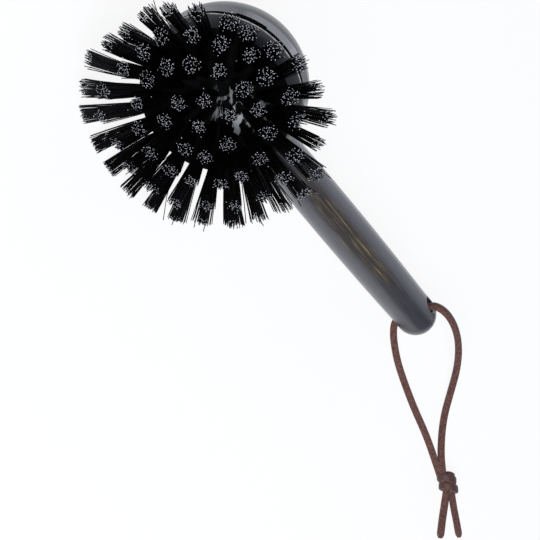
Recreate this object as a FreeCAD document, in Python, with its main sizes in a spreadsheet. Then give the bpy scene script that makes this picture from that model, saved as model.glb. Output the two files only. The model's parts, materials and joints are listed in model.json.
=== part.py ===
import FreeCAD, Part
import math
import os
import Sketcher

# A wooden dish brush lying on a table.
# A turned handle is tenoned into the back half of a wooden ball. The front half of the ball is a
# separate bristle block that plugs into the back half with a round spigot. Tufts of bristle stand
# in five rings of holes that all point at the middle of the ball, each folded round a metal anchor.
# A tuft has eight flat sides instead of a round one, to keep the many copies light.
# A leather lace runs through a cross hole near the handle's end and is tied in one knot.
# The head's own frame has its origin in the middle of the ball and +Z along the bristles.
# The handle's own frame has the same origin and +Z along the handle, towards its free end.

doc = FreeCAD.newDocument("dish_brush")
sheet = doc.addObject("Spreadsheet::Sheet", "Sizes")

# Driving sizes in millimetres and degrees, one cell each.
DRIVING = (
    ("ball_radius", "27"),
    ("seam_height", "2.4"),
    ("seam_gap", "0.8"),
    ("seam_seat_radius", "23.2"),
    ("rim_ease", "0.5"),
    ("notch_depth", "1.0"),
    ("notch_angle", "23"),
    ("notch_azimuth", "136"),
    ("shoulder_angle", "62"),
    ("shoulder_radius", "6"),
    ("spigot_radius", "11"),
    ("spigot_length", "7.2"),
    ("spigot_ease", "0.8"),
    ("spigot_clearance", "0.1"),
    ("handle_rake", "23.3"),
    ("handle_grip", "102.4"),
    ("handle_land", "7"),
    ("handle_seat_depth", "0.8"),
    ("handle_neck_radius", "7.25"),
    ("handle_end_radius", "7.2"),
    ("handle_swell", "0.55"),
    ("tenon_radius", "4.5"),
    ("tenon_length", "8.6"),
    ("tenon_ease", "0.6"),
    ("joint_clearance", "0.1"),
    ("mortise_slack", "0.4"),
    ("cord_hole_radius", "2.7"),
    ("cord_hole_setback", "1.6"),
    ("cord_hole_roll", "-7.3"),
    ("cord_hole_ease", "1"),
    ("tuft_hole_radius", "1.35"),
    ("tuft_clearance", "0.1"),
    ("tuft_depth", "5.1"),
    ("tuft_collar", "1.4"),
    ("tuft_tip_radius", "2.6"),
    ("anchor_thickness", "0.4"),
    ("anchor_height", "1.2"),
    ("anchor_setback", "0.7"),
    ("anchor_clearance", "0.05"),
    ("core_angle", "0"),
    ("core_count", "1"),
    ("core_phase", "0"),
    ("core_length", "12.8"),
    ("first_angle", "19.7"),
    ("first_count", "7"),
    ("first_phase", "36"),
    ("first_length", "13.4"),
    ("second_angle", "37.3"),
    ("second_count", "15"),
    ("second_phase", "15"),
    ("second_length", "15"),
    ("third_angle", "48.6"),
    ("third_count", "20"),
    ("third_phase", "14"),
    ("third_length", "16"),
    ("outer_angle", "57"),
    ("outer_count", "26"),
    ("outer_phase", "1.5"),
    ("outer_length", "18.7"),
    ("lie_roll", "67.5"),
    ("lace_diameter", "2.2"),
    ("knot_wrap_radius", "1.9"),
    ("knot_wrap_thickness", "2.7"),
    ("knot_wrap_spacing", "2.6"),
    ("knot_lift", "0.05"),
    ("overrun", "2"),
)
RINGS = ("core", "first", "second", "third", "outer")
TUFT_SIDES = 8
HALF_SIDE_SHARE = 0.5
FULL_TURN = 360
RIGHT_ANGLE = 90
X_AXIS = FreeCAD.Vector(1, 0, 0)
Y_AXIS = FreeCAD.Vector(0, 1, 0)
Z_AXIS = FreeCAD.Vector(0, 0, 1)

for row, (alias, number) in enumerate(DRIVING, start=1):
    sheet.set(f"A{row}", alias)
    sheet.set(f"B{row}", number)
    sheet.setAlias(f"B{row}", alias)
doc.recompute()


class Size:
    """A number together with the sheet expression that gives it."""

    def __init__(self, value, text):
        self.value = value
        self.text = text

    def __add__(self, other):
        return Size(self.value + other.value, f"({self.text} + {other.text})")

    def __sub__(self, other):
        return Size(self.value - other.value, f"({self.text} - {other.text})")

    def __mul__(self, other):
        return Size(self.value * other.value, f"({self.text} * {other.text})")

    def __truediv__(self, other):
        return Size(self.value / other.value, f"({self.text} / {other.text})")

    def __neg__(self):
        return Size(-self.value, f"(-1 * {self.text})")


def named(alias):
    return Size(float(sheet.get(alias)), f"Sizes.{alias}")


def count(number):
    return Size(number, str(number))


def sine(angle):
    return Size(math.sin(math.radians(angle.value)), f"sin({angle.text})")


def cosine(angle):
    return Size(math.cos(math.radians(angle.value)), f"cos({angle.text})")


def slope_angle(rise, run):
    return Size(math.degrees(math.atan2(rise.value, run.value)), f"atan({rise.text} / {run.text})")


def root_of(square):
    return Size(math.sqrt(square.value), f"sqrt({square.text})")


def other_leg(longest, leg):
    return root_of(longest * longest - leg * leg)


ZERO = count(0)
TWO = count(2)
EIGHT = count(8)

ball_radius = named("ball_radius")
seam_height = named("seam_height")
overrun = named("overrun")
handle_seat = other_leg(ball_radius, named("handle_neck_radius")) - named("handle_seat_depth")
handle_reach = handle_seat + named("handle_grip")
block_inner = ball_radius - named("shoulder_radius")
block_front = block_inner * cosine(named("shoulder_angle")) + named("shoulder_radius")


class Outline:
    """A closed sketch outline whose corners and radii are bound to the sheet.

    A sketch counts its own origin as geometry -1, and 1 and 2 are a piece's start and end points.
    """

    def __init__(self, sketch, x, y):
        self.sketch = sketch
        self.first = (x, y)
        self.here = (x, y)
        self.pieces = []

    def bind(self, kind, *where_and_size):
        *where, size = where_and_size
        index = self.sketch.addConstraint(Sketcher.Constraint(kind, *where, size.value))
        self.sketch.setExpression(f"Constraints[{index}]", size.text)

    def pin_start(self, piece, x, y):
        self.bind("DistanceX", -1, 1, piece, 1, x)
        self.bind("DistanceY", -1, 1, piece, 1, y)

    def add(self, curve, x, y):
        piece = self.sketch.addGeometry(curve)
        self.pieces.append(piece)
        self.pin_start(piece, *self.here)
        self.here = (x, y)
        return piece

    def line(self, x, y):
        here = FreeCAD.Vector(self.here[0].value, self.here[1].value)
        there = FreeCAD.Vector(x.value, y.value)
        self.add(Part.LineSegment(here, there), x, y)
        return self

    def arc(self, x, y, radius):
        """A minor arc to x, y that turns left."""
        here = FreeCAD.Vector(self.here[0].value, self.here[1].value)
        there = FreeCAD.Vector(x.value, y.value)
        half = (there - here) / 2
        left = FreeCAD.Vector(-half.y, half.x).normalize()
        centre = here + half + left * math.sqrt(max(radius.value**2 - half.Length**2, 0))
        circle = Part.Circle(centre, Z_AXIS, radius.value)
        begin = math.atan2(here.y - centre.y, here.x - centre.x)
        end = math.atan2(there.y - centre.y, there.x - centre.x)
        piece = self.add(Part.ArcOfCircle(circle, begin, end), x, y)
        self.bind("Radius", piece, radius)
        return self

    def close(self):
        if self.here is not self.first:
            self.line(*self.first)
        for piece, following in zip(self.pieces, self.pieces[1:] + self.pieces[:1]):
            self.sketch.addConstraint(Sketcher.Constraint("Coincident", piece, 2, following, 1))
        return self.sketch


def new_body(label):
    body = doc.addObject("PartDesign::Body", label)
    body.Label = label
    body.AllowCompound = True
    return body


def sketch_on(body, name, role, turn=None, turn_axis=(0, 0, -1), lift=None):
    """A sketch on one of the body's own planes, turned or lifted in that plane by sheet values."""
    plane = next(f for f in body.Origin.OriginFeatures if f.Role == role)
    sketch = body.newObject("Sketcher::SketchObject", name)
    sketch.AttachmentSupport = [(plane, "")]
    sketch.MapMode = "FlatFace"
    if turn is not None:
        rotation = FreeCAD.Rotation(FreeCAD.Vector(*turn_axis), turn.value)
        sketch.AttachmentOffset = FreeCAD.Placement(FreeCAD.Vector(), rotation)
        sketch.setExpression("AttachmentOffset.Rotation.Angle", turn.text)
    if lift is not None:
        sketch.AttachmentOffset.Base = FreeCAD.Vector(0, lift.value, 0)
        sketch.setExpression("AttachmentOffset.Base.y", lift.text)
    return sketch


def spin(body, kind, name, sketch, angle=None, axis="V_Axis"):
    """A Revolution or a Groove about one of the sketch's own axes, its upright one by default."""
    feature = body.newObject(f"PartDesign::{kind}", name)
    feature.Profile = sketch
    feature.ReferenceAxis = (sketch, [axis])
    if angle is None:
        feature.Angle = FULL_TURN
    else:
        feature.Midplane = True
        feature.Angle = angle.value
        feature.setExpression("Angle", angle.text)
    sketch.Visibility = False
    return feature


def repeat(body, name, features, ring):
    """The ring's copies of a feature, evenly spaced about the head's axis."""
    doc.recompute()
    pattern = body.newObject("PartDesign::PolarPattern", name)
    pattern.Originals = features
    z_axis = next(f for f in body.Origin.OriginFeatures if f.Role == "Z_Axis")
    pattern.Axis = (z_axis, [""])
    pattern.Angle = FULL_TURN
    pattern.Occurrences = int(named(f"{ring}_count").value)
    pattern.setExpression("Occurrences", f"Sizes.{ring}_count")
    body.Tip = pattern
    doc.recompute()
    return pattern


def handle_body():
    """The turned handle: tenon, shoulder, slightly swelling grip, straight land, round end, cross hole."""
    neck = named("handle_neck_radius")
    end = named("handle_end_radius")
    swell = named("handle_swell")
    tenon = named("tenon_radius")
    ease = named("tenon_ease")
    tenon_start = handle_seat - named("tenon_length")
    land_start = handle_reach - named("handle_land")
    sweep_length = land_start - handle_seat
    taper = neck - end
    chord_square = sweep_length * sweep_length + taper * taper
    sweep_radius = chord_square / (EIGHT * swell) + swell / TWO
    body = new_body("handle")
    sketch = sketch_on(body, "handle_profile", "XZ_Plane")
    outline = Outline(sketch, ZERO, tenon_start)
    outline.line(tenon - ease, tenon_start).line(tenon, tenon_start + ease).line(tenon, handle_seat)
    outline.line(neck, handle_seat).arc(end, land_start, sweep_radius).line(end, handle_reach)
    outline.arc(ZERO, handle_reach + end, end).close()
    spin(body, "Revolution", "handle_turning", sketch)
    doc.recompute()

    hole_place = handle_reach - named("cord_hole_setback")
    hole = named("cord_hole_radius")
    far = neck + swell + overrun
    mouth = end - named("cord_hole_ease")
    flare = hole + far - mouth
    sketch = sketch_on(body, "cord_hole_profile", "YZ_Plane", lift=hole_place)
    outline = Outline(sketch, -far, ZERO)
    outline.line(-far, flare).line(-mouth, hole).line(mouth, hole).line(far, flare)
    outline.line(far, ZERO).close()
    body.Tip = spin(body, "Groove", "cord_hole", sketch, axis="H_Axis")
    return body


def head_cap_body():
    """The back half of the ball, with the handle's mortise, the spigot's socket and a pry notch."""
    gap_floor = seam_height - named("seam_gap")
    rim = other_leg(ball_radius, gap_floor - named("rim_ease"))
    seat = named("seam_seat_radius")
    socket = named("spigot_radius") + named("spigot_clearance")
    socket_floor = seam_height - named("spigot_length") - named("mortise_slack")
    body = new_body("head_cap")
    sketch = sketch_on(body, "cap_profile", "XZ_Plane")
    outline = Outline(sketch, ZERO, -ball_radius)
    outline.arc(rim, gap_floor - named("rim_ease"), ball_radius)
    outline.line(rim - named("rim_ease"), gap_floor).line(seat, gap_floor).line(seat, seam_height)
    outline.line(socket, seam_height).line(socket, socket_floor).line(ZERO, socket_floor).close()
    spin(body, "Revolution", "cap_turning", sketch)
    doc.recompute()

    tilt = named("handle_rake") + count(RIGHT_ANGLE)
    clearance = named("joint_clearance")
    tenon = named("tenon_radius") + clearance
    neck = named("handle_neck_radius") + clearance
    mortise_floor = handle_seat - named("tenon_length") - named("mortise_slack")
    sketch = sketch_on(body, "mortise_profile", "XZ_Plane", tilt)
    outline = Outline(sketch, ZERO, mortise_floor)
    outline.line(tenon, mortise_floor).line(tenon, handle_seat)
    outline.line(neck, handle_seat).line(neck, ball_radius + overrun)
    outline.line(ZERO, ball_radius + overrun).close()
    spin(body, "Groove", "mortise", sketch)
    doc.recompute()

    notch_floor = gap_floor - named("notch_depth")
    sketch = sketch_on(body, "notch_profile", "XZ_Plane", named("notch_azimuth"), (0, 1, 0))
    outline = Outline(sketch, seat, notch_floor)
    outline.line(ball_radius + overrun, notch_floor).line(ball_radius + overrun, seam_height)
    outline.line(seat, seam_height).close()
    body.Tip = spin(body, "Groove", "pry_notch", sketch, named("notch_angle"))
    return body


def bristle_block_body():
    """The front half of the ball with its rounded shoulder, spigot and drilled tuft holes."""
    shoulder = named("shoulder_radius")
    angle = named("shoulder_angle")
    rim_ease = named("rim_ease")
    rim = other_leg(ball_radius, seam_height + rim_ease)
    spigot = named("spigot_radius")
    ease = named("spigot_ease")
    spigot_end = seam_height - named("spigot_length")
    body = new_body("bristle_block")
    sketch = sketch_on(body, "block_profile", "XZ_Plane")
    outline = Outline(sketch, ZERO, spigot_end)
    outline.line(spigot - ease, spigot_end).line(spigot, spigot_end + ease)
    outline.line(spigot, seam_height).line(rim - rim_ease, seam_height).line(rim, seam_height + rim_ease)
    outline.arc(ball_radius * sine(angle), ball_radius * cosine(angle), ball_radius)
    outline.arc(block_inner * sine(angle), block_front, shoulder).line(ZERO, block_front).close()
    spin(body, "Revolution", "block_turning", sketch)
    doc.recompute()

    hole = named("tuft_hole_radius")
    for ring in RINGS:
        bottom = surface_along(ring) - named("tuft_depth")
        top = surface_along(ring) + overrun
        sketch = ring_sketch(body, f"{ring}_hole_profile", ring)
        outline = Outline(sketch, ZERO, bottom)
        outline.line(hole, bottom).line(hole, top).line(ZERO, top).close()
        drilled = spin(body, "Groove", f"{ring}_hole", sketch)
        body.Tip = drilled
        if ring != "core":
            repeat(body, f"{ring}_holes", [drilled], ring)
    return body


def surface_along(ring):
    """How far from the ball's middle a ring's tufts leave the block, on its flat face or shoulder."""
    angle = named(f"{ring}_angle")
    on_face = block_front / cosine(angle)
    face_edge = block_inner * sine(named("shoulder_angle"))
    if on_face.value * sine(angle).value < face_edge.value:
        return on_face
    aside = angle - named("shoulder_angle")
    return block_inner * cosine(aside) + other_leg(named("shoulder_radius"), block_inner * sine(aside))


def ring_sketch(body, name, ring):
    """A sketch whose upright axis is the first tuft's axis in that ring."""
    sketch = sketch_on(body, name, "XZ_Plane")
    turn = f"rotationy(Sizes.{ring}_phase) * rotationz(-1 * Sizes.{ring}_angle)"
    sketch.setExpression("AttachmentOffset", f"placement(vector(0; 0; 0); {turn})")
    return sketch


def tuft_section(body, name, ring, distance):
    """An eight-sided section square to the first tuft's axis, at a distance from the ball's middle."""
    sketch = sketch_on(body, name, "XY_Plane")
    turn = f"rotationz(Sizes.{ring}_phase) * rotationy(Sizes.{ring}_angle)"
    place = f"({turn}) * vector(0; 0; {distance.text})"
    sketch.setExpression("AttachmentOffset", f"placement({place}; {turn})")
    neck = named("tuft_hole_radius") - named("tuft_clearance")
    corners = []
    for corner in range(TUFT_SIDES):
        angle = count((corner + HALF_SIDE_SHARE) * FULL_TURN / TUFT_SIDES)
        corners.append((neck * cosine(angle), neck * sine(angle)))
    outline = Outline(sketch, *corners[0])
    for x, y in corners[1:]:
        outline.line(x, y)
    return outline.close()


def extrude(body, kind, name, sketch, length, taper=None, midplane=False):
    """A Pad or a Pocket, to one side of its sketch or half to each, with sloping sides if tapered."""
    feature = body.newObject(f"PartDesign::{kind}", name)
    feature.Profile = sketch
    feature.Midplane = midplane
    feature.Length = length.value
    feature.setExpression("Length", length.text)
    if taper is not None:
        feature.TaperAngle = taper.value
        feature.setExpression("TaperAngle", taper.text)
    sketch.Visibility = False
    body.Tip = feature
    return feature


def tufts_body(ring):
    """One ring of tufts: a straight root folded in its hole, then a flare to the cut ends."""
    neck = named("tuft_hole_radius") - named("tuft_clearance")
    depth = named("tuft_depth")
    collar = named("tuft_collar")
    root = surface_along(ring) - depth
    flare_length = named(f"{ring}_length") - collar
    taper = slope_angle(named("tuft_tip_radius") - neck, flare_length)
    body = new_body(f"tufts_{ring}")
    sketch = tuft_section(body, f"{ring}_root_section", ring, root)
    straight = extrude(body, "Pad", f"{ring}_root", sketch, depth + collar)
    sketch = tuft_section(body, f"{ring}_flare_section", ring, surface_along(ring) + collar)
    flare = extrude(body, "Pad", f"{ring}_flare", sketch, flare_length, taper)
    doc.recompute()

    clearance = named("anchor_clearance")
    side = named("anchor_thickness") / TWO + clearance
    low = root + named("anchor_setback") - clearance
    high = root + named("anchor_setback") + named("anchor_height") + clearance
    sketch = ring_sketch(body, f"{ring}_fold_profile", ring)
    outline = Outline(sketch, -side, low)
    outline.line(side, low).line(side, high).line(-side, high).close()
    width = TWO * (neck + clearance)
    fold = extrude(body, "Pocket", f"{ring}_fold", sketch, width, midplane=True)
    if ring != "core":
        repeat(body, f"{ring}_tufts", [straight, flare, fold], ring)
    return body


def anchors_body(ring):
    """The flat metal anchors that hold the folded tufts of one ring in their holes."""
    side = named("anchor_thickness") / TWO
    low = surface_along(ring) - named("tuft_depth") + named("anchor_setback")
    high = low + named("anchor_height")
    width = TWO * (named("tuft_hole_radius") - named("tuft_clearance"))
    body = new_body(f"anchors_{ring}")
    sketch = ring_sketch(body, f"{ring}_anchor_profile", ring)
    outline = Outline(sketch, -side, low)
    outline.line(side, low).line(side, high).line(-side, high).close()
    anchor = extrude(body, "Pad", f"{ring}_anchor", sketch, width, midplane=True)
    if ring != "core":
        repeat(body, f"{ring}_anchors", [anchor], ring)
    return body


handle = handle_body()
head_cap = head_cap_body()
bristle_block = bristle_block_body()
tufts = [tufts_body(ring) for ring in RINGS]
anchors = [anchors_body(ring) for ring in RINGS]
doc.recompute()

# The brush lies on the ball, the handle's round end and the outer tufts.
drop = (ball_radius - named("handle_end_radius")).value
pitch = math.degrees(math.asin(drop / handle_reach.value))
pitch_turn = FreeCAD.Rotation(Y_AXIS, pitch)
rake_turn = FreeCAD.Rotation(Y_AXIS, -named("handle_rake").value)
roll_turn = FreeCAD.Rotation(X_AXIS, named("lie_roll").value)
head_turn = pitch_turn * roll_turn * rake_turn
along_handle = FreeCAD.Rotation(Y_AXIS, RIGHT_ANGLE)
hole_roll = FreeCAD.Rotation(X_AXIS, named("lie_roll").value + named("cord_hole_roll").value)
handle_turn = pitch_turn * hole_roll * along_handle
head_pieces = [head_cap, bristle_block] + tufts + anchors
rigid_pieces = [handle] + head_pieces


def lay_down(ball_centre):
    handle.Placement = FreeCAD.Placement(ball_centre, handle_turn)
    for piece in head_pieces:
        piece.Placement = FreeCAD.Placement(ball_centre, head_turn)
    doc.recompute()


# The origin is on the table, under the middle of the brush's box.
lay_down(FreeCAD.Vector(0, 0, ball_radius.value))
box = FreeCAD.BoundBox()
for piece in rigid_pieces:
    box.add(piece.Shape.optimalBoundingBox(False, False))
ball_centre = FreeCAD.Vector(-box.Center.x, -box.Center.y, ball_radius.value - box.ZMin)
lay_down(ball_centre)
hole_reach = (handle_reach - named("cord_hole_setback")).value
hole_centre = ball_centre + handle_turn.multVec(Z_AXIS) * hole_reach
hole_direction = handle_turn.multVec(-Y_AXIS)
print("ball centre", ball_centre, "cord hole", hole_centre, "towards", hole_direction)

# The lace, as points from the spot on the table under the middle of the cord hole.
LACE_UPPER = (
    (0.9, 3.3, 13.1),
    (3.9, 3.9, 15.5),
    (9.0, 3.7, 15.8),
    (16.8, 2.8, 13.2),
    (24.1, 0.4, 9.5),
    (29.9, -3.9, 6.0),
    (33.9, -10.5, 3.2),
    (36.6, -17.5, 1.8),
    (39.4, -23.6, 1.4),
    (43.2, -29.6, 2.2),
    (48.8, -36.3, 4.3),
)
LACE_LOWER = (
    (-0.55, -2.0, 4.0),
    (-0.85, -3.9, 1.9),
    (-0.1, -6.3, 1.2),
    (2.4, -10.0, 1.15),
    (8.0, -15.2, 1.15),
    (15.9, -20.0, 1.15),
    (24.5, -24.2, 1.15),
    (33.4, -28.0, 1.15),
    (40.6, -31.6, 1.25),
    (47.6, -37.0, 2.2),
)
TAIL_LEFT = (
    (49.6, -40.2, 2.3),
    (53.6, -44.8, 1.2),
    (56.2, -49.6, 1.15),
    (59.0, -54.7, 1.15),
)
TAIL_RIGHT = (
    (51.6, -38.9, 3.2),
    (57.9, -42.2, 1.4),
    (62.6, -45.4, 1.15),
    (66.9, -49.4, 1.15),
)
KNOT_PLACE = (49.6, -38.0)
KNOT_HEADING = (0.547, -0.837)
ARC_SHARE = 0.45
lace_radius = named("lace_diameter").value / 2
under_hole = FreeCAD.Vector(hole_centre.x, hole_centre.y, 0)


def bend(before, corner, after):
    """The ends, middle and radius of the largest arc that rounds a corner of the route."""
    back = before - corner
    ahead = after - corner
    turn = math.pi - back.getAngle(ahead)
    trim = ARC_SHARE * min(back.Length, ahead.Length)
    radius = trim / math.tan(turn / 2)
    back.normalize()
    ahead.normalize()
    inward = (back + ahead).normalize()
    middle = corner + inward * (radius / math.cos(turn / 2) - radius)
    return corner + back * trim, middle, corner + ahead * trim, radius


def lace_run(label, route):
    """A tube along straight runs joined by tangent arcs."""
    points = [under_hole + FreeCAD.Vector(*point) for point in route]
    edges = []
    radii = []
    here = points[0]
    for before, corner, after in zip(points, points[1:], points[2:]):
        start, middle, end, radius = bend(before, corner, after)
        edges.append(Part.LineSegment(here, start).toShape())
        edges.append(Part.Arc(start, middle, end).toShape())
        radii.append(radius)
        here = end
    edges.append(Part.LineSegment(here, points[-1]).toShape())
    path = Part.Wire(edges)
    section = Part.Wire(Part.makeCircle(lace_radius, points[0], points[1] - points[0]))
    run = doc.addObject("Part::Feature", label)
    run.Label = label
    run.Shape = path.makePipeShell([section], True, False)
    expected = math.pi * lace_radius**2 * path.Length
    print(label, "length", round(path.Length, 1), "radii", [round(radius, 1) for radius in radii])
    print(label, "volume share", round(run.Shape.Volume / expected, 4))
    return run


hole_middle = (0, 0, hole_centre.z)
lace_upper = lace_run("lace_upper_leg", (hole_middle,) + LACE_UPPER)
lace_lower = lace_run("lace_lower_leg", (hole_middle,) + LACE_LOWER)
tail_left = lace_run("lace_tail_left", TAIL_LEFT)
tail_right = lace_run("lace_tail_right", TAIL_RIGHT)


def knot_piece():
    """The overhand knot: two wraps of lace, one beside the other, round the strands in its middle."""
    spacing = named("knot_wrap_spacing")
    thickness = named("knot_wrap_thickness")
    wraps = []
    for side in (-1, 1):
        wrap = doc.addObject("Part::Torus", "knot_wrap")
        wrap.setExpression("Radius1", "Sizes.knot_wrap_radius")
        wrap.setExpression("Radius2", (thickness / TWO).text)
        wrap.Placement.Base = Z_AXIS * (side * spacing.value / 2)
        wraps.append(wrap)
    core = doc.addObject("Part::Cylinder", "knot_core")
    core.setExpression("Radius", "Sizes.knot_wrap_radius")
    core.setExpression("Height", spacing.text)
    core.Placement.Base = -Z_AXIS * (spacing.value / 2)
    knot = doc.addObject("Part::MultiFuse", "lace_knot")
    knot.Label = "lace_knot"
    knot.Shapes = wraps + [core]
    height = (named("knot_wrap_radius") + thickness / TWO + named("knot_lift")).value
    heading = FreeCAD.Rotation(Z_AXIS, FreeCAD.Vector(*KNOT_HEADING, 0))
    knot.Placement = FreeCAD.Placement(under_hole + FreeCAD.Vector(*KNOT_PLACE, height), heading)
    return knot


knot = knot_piece()
doc.recompute()

pieces = rigid_pieces + [lace_upper, lace_lower, tail_left, tail_right, knot]
for item in doc.Objects:
    faults = [state for state in item.State if state in ("Invalid", "Error")]
    if faults:
        raise RuntimeError(f"{item.Label} is {faults}")
for piece in pieces:
    if piece.Shape.isNull() or not piece.Shape.isValid():
        raise RuntimeError(f"{piece.Label} has no valid shape")
    print(piece.Label, len(piece.Shape.Solids), "solids", round(piece.Shape.Volume, 1), "mm3")

os.makedirs("parts", exist_ok=True)
for piece in pieces:
    piece.Shape.exportStep(f"parts/{piece.Label}.step")
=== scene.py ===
# %% [markdown]
# # A ball-headed dish brush
# The object is a wooden dish brush: a ball full of black tufts, a turned handle and a leather
# lace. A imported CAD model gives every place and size. Its plain solids could be shown as they
# are, but they have no filaments, no grain and no wear. So this lesson keeps the CAD frame and
# dresses each piece in Blender. The frame loads first, because everything else hangs on it.

# %% Load the CAD frame
import json
import math

import bmesh
import bpy
import numpy as np
from mathutils import Matrix, Vector


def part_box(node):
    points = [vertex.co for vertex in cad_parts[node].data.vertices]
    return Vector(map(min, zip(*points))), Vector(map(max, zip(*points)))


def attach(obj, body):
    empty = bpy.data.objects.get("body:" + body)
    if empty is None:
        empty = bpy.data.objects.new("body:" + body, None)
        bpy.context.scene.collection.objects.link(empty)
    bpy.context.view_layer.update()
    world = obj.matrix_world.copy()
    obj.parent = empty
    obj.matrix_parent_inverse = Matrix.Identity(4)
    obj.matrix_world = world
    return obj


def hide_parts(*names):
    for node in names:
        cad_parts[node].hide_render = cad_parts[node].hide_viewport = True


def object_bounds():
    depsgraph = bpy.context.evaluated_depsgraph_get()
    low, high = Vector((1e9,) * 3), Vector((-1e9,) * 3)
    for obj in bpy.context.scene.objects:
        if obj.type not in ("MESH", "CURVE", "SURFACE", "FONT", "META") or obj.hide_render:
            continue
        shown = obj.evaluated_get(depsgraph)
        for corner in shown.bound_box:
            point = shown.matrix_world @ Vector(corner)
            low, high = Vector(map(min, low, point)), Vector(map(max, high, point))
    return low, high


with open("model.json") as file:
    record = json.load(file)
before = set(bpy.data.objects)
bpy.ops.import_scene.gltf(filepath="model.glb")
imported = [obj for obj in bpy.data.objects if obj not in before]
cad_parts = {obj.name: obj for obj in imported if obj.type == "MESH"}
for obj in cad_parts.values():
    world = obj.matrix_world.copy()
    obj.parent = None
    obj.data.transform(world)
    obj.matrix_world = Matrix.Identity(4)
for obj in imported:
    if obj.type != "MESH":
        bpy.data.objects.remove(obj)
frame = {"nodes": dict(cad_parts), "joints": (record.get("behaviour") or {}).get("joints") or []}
cad_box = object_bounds()

# %% [markdown]
# ## Where things are
# The brush lies on a table, on its ball and on the end of its handle. Places could be typed in
# one by one, but they would be hard to follow. The ball's middle is the origin of all the turned
# pieces, so it is worked out from the boxes of the ball's two halves: the drilled half reaches
# furthest to -X, the back half reaches furthest to +Y and down to the table. The bristles point
# along the axis of the joint that pulls the head off, and the handle dips from the ball to its
# own round end.

# %% Sizes that place the pieces
MM = 0.001
BALL_RADIUS = 27 * MM
NECK_RADIUS = 7.25 * MM
HANDLE_END_RADIUS = 7.2 * MM
SEAT_DEPTH = 0.8 * MM
HANDLE_LENGTH = 102.4 * MM
HANDLE_SEAT = math.sqrt(BALL_RADIUS**2 - NECK_RADIUS**2) - SEAT_DEPTH
HANDLE_REACH = HANDLE_SEAT + HANDLE_LENGTH
CORD_HOLE_SETBACK = 1.6 * MM
CORD_HOLE_ROLL = math.radians(60.2)

handle_dip = math.asin((BALL_RADIUS - HANDLE_END_RADIUS) / HANDLE_REACH)
print("handle dips by (degrees):", round(math.degrees(handle_dip), 2))

# %% Frames of the head and the handle


def frame_along(origin, z_axis, x_hint):
    """A local frame at a point, with +Z along one direction and +X towards another."""
    z = z_axis.normalized()
    x = (x_hint - z * x_hint.dot(z)).normalized()
    return Matrix.Translation(origin) @ Matrix((x, z.cross(x), z)).transposed().to_4x4()


cap_low, cap_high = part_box("head_cap")
block_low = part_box("bristle_block")[0]
ball_centre = Vector(
    (block_low.x + BALL_RADIUS, cap_high.y - BALL_RADIUS, cap_low.z + BALL_RADIUS)
)
bristle_axis = Vector(frame["joints"][0]["axis"]).normalized()
handle_axis = Vector((math.cos(handle_dip), 0, -math.sin(handle_dip)))
handle_up = Vector((math.sin(handle_dip), 0, math.cos(handle_dip)))
hole_axis = Vector((0, math.cos(CORD_HOLE_ROLL), 0)) + handle_up * math.sin(CORD_HOLE_ROLL)
hole_centre = ball_centre + handle_axis * (HANDLE_REACH - CORD_HOLE_SETBACK)
head_frame = frame_along(ball_centre, bristle_axis, handle_axis)
handle_frame = frame_along(ball_centre, handle_axis, hole_axis.cross(handle_axis))
print("ball centre (mm):", [round(value / MM, 2) for value in ball_centre])
print("cord hole (mm):", [round(value / MM, 2) for value in hole_centre])

# %% [markdown]
# ## Camera
# The photograph looks down on the lying brush with a long lens, and is turned so that the handle
# runs to the lower right. A camera could be dragged into place by eye. Three angles and a
# distance are easier to correct one at a time. The camera's place then follows from where the
# ball's middle lands in the picture, and from how large a pixel is there.

# %% Camera direction
CAMERA_AZIMUTH = math.radians(-52.3)
CAMERA_ELEVATION = math.radians(47.48)
CAMERA_ROLL = math.radians(86.75)

level = Vector((math.cos(CAMERA_AZIMUTH), math.sin(CAMERA_AZIMUTH), 0))
flat_back = Vector((math.sin(CAMERA_AZIMUTH), -math.cos(CAMERA_AZIMUTH), 0))
back = flat_back * math.cos(CAMERA_ELEVATION) + Vector((0, 0, math.sin(CAMERA_ELEVATION)))
upright = back.cross(level)
right = level * math.cos(CAMERA_ROLL) + upright * math.sin(CAMERA_ROLL)
up = back.cross(right)
print("camera looks along:", [round(-value, 3) for value in back])

# %% Camera
PHOTO_SIDE = 540
BALL_PIXEL = (224.6, 86.4)
PIXEL_AT_BALL = 0.3176 * MM
CAMERA_DISTANCE = 1.0
SENSOR_WIDTH = 36

shift_right = (PHOTO_SIDE / 2 - BALL_PIXEL[0]) * PIXEL_AT_BALL
shift_up = (BALL_PIXEL[1] - PHOTO_SIDE / 2) * PIXEL_AT_BALL
camera_place = ball_centre + back * CAMERA_DISTANCE + right * shift_right + up * shift_up
camera_turn = Matrix((right, up, back)).transposed().to_4x4()

camera_data = bpy.data.cameras.new("photo_camera")
camera_data.sensor_width = SENSOR_WIDTH
camera_data.lens = SENSOR_WIDTH * CAMERA_DISTANCE / (PHOTO_SIDE * PIXEL_AT_BALL)
camera = bpy.data.objects.new("photo_camera", camera_data)
camera.matrix_world = Matrix.Translation(camera_place) @ camera_turn
bpy.context.scene.collection.objects.link(camera)
bpy.context.scene.camera = camera
print("lens (mm):", round(camera_data.lens, 1))

# %% [markdown]
# ## Colours and nodes
# Wood, nylon and leather all need materials, and a material is a tree of nodes. Trees could be
# drawn by hand in the shader editor, but a script can be read and repeated. Colours are given as
# sRGB hex values, and shaders work in linear light, so one function turns them over. One more
# adds a node with its settings and links. Sockets that share a name go by number: a Mix of
# colours takes its share at 0 and the colours at 6 and 7, and gives its result at 2. A pattern's
# scale comes from a real size in millimetres: a noise of scale s repeats about s times in a
# metre.

# %% Colours and pattern scales


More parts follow.
